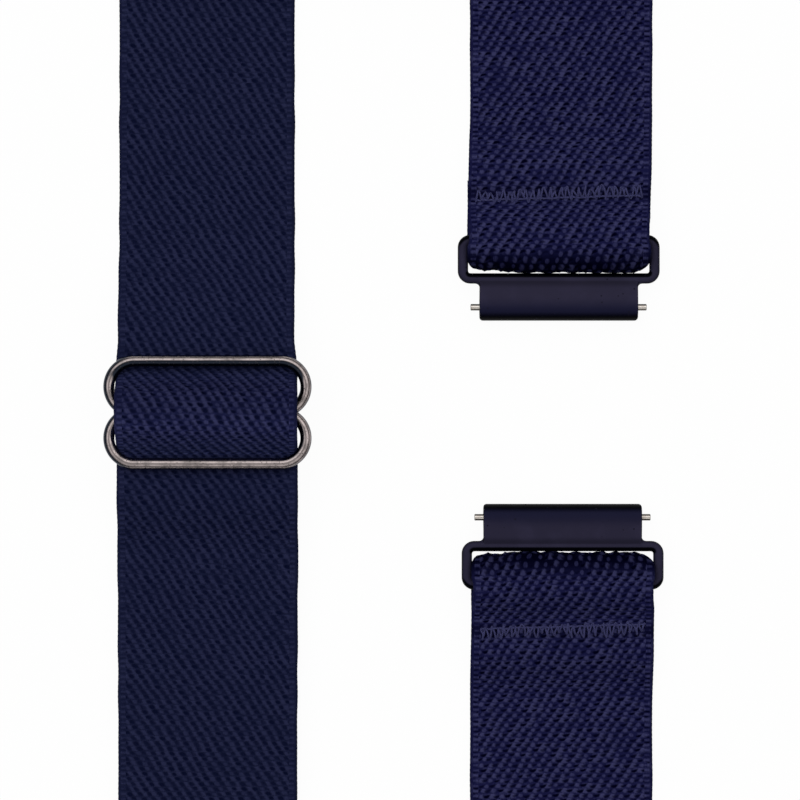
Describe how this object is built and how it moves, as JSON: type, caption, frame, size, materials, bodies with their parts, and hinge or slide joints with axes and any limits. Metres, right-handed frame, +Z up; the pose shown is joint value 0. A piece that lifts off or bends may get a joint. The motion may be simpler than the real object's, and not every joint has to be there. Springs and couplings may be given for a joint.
{
  "type": "loop watch strap",
  "caption": "Adjustable elastic woven loop watch strap with a double loop slider and quick release spring bar connectors, laid out flat.",
  "frame": {"origin": "on the surface the strap lies on, under the middle of its outline, level with the slider's centre bar", "axes": "+Y along both columns of webbing towards the upper connector, +X from the slider's column to the connectors' column, +Z up from the surface"},
  "size_m": [0.0688, 0.1558, 0.0089],
  "materials": {
    "webbing": "woven elastic twill, navy",
    "thread": "sewing thread, lighter navy",
    "slider_metal": "polished plated wire with fine pitting",
    "connector_paint": "satin dark navy coating",
    "spring_steel": "turned stainless steel"
  },
  "bodies": {
    "upper_strap": {"upper_web": "webbing", "upper_needle_thread": "thread", "upper_bobbin_thread": "thread"},
    "lower_strap": {"lower_web": "webbing", "slider": "slider_metal", "lower_needle_thread": "thread", "lower_bobbin_thread": "thread", "slider_needle_thread": "thread", "slider_bobbin_thread": "thread"},
    "upper_end": {"upper_connector": "connector_paint", "upper_bar_tube": "spring_steel", "upper_bar_coil": "spring_steel"},
    "lower_end": {"lower_connector": "connector_paint", "lower_bar_tube": "spring_steel", "lower_bar_coil": "spring_steel"},
    "upper_lever_tip": {"upper_lever_plunger": "spring_steel", "upper_release_knob": "spring_steel"},
    "lower_lever_tip": {"lower_lever_plunger": "spring_steel", "lower_release_knob": "spring_steel"},
    "upper_plain_tip": {"upper_plain_plunger": "spring_steel"},
    "lower_plain_tip": {"lower_plain_plunger": "spring_steel"}
  },
  "joints": [
    {"name": "slider_slide", "type": "slide", "parent": "upper_strap", "child": "lower_strap", "axis": [0, -1, 0], "range_m": [0, 0.015], "deforming": ["upper_web"]},
    {"name": "upper_hinge", "type": "hinge", "parent": "upper_strap", "child": "upper_end", "pos_m": [0.02146, 0.02122, 0.00215], "axis": [-1, 0, 0], "range_deg": [-90, 90]},
    {"name": "lower_hinge", "type": "hinge", "parent": "lower_strap", "child": "lower_end", "pos_m": [0.02194, -0.02122, 0.00215], "axis": [1, 0, 0], "range_deg": [-90, 90]},
    {"name": "upper_lever_push", "type": "slide", "parent": "upper_end", "child": "upper_lever_tip", "axis": [1, 0, 0], "range_m": [0, 0.0012], "stiffness_N_per_m": 400, "springref_m": -0.001, "deforming": ["upper_bar_coil"]},
    {"name": "upper_plain_push", "type": "slide", "parent": "upper_end", "child": "upper_plain_tip", "axis": [-1, 0, 0], "range_m": [0, 0.0012], "stiffness_N_per_m": 400, "springref_m": -0.001, "deforming": ["upper_bar_coil"]},
    {"name": "lower_lever_push", "type": "slide", "parent": "lower_end", "child": "lower_lever_tip", "axis": [-1, 0, 0], "range_m": [0, 0.0012], "stiffness_N_per_m": 400, "springref_m": -0.001, "deforming": ["lower_bar_coil"]},
    {"name": "lower_plain_push", "type": "slide", "parent": "lower_end", "child": "lower_plain_tip", "axis": [1, 0, 0], "range_m": [0, 0.0012], "stiffness_N_per_m": 400, "springref_m": -0.001, "deforming": ["lower_bar_coil"]}
  ]
}
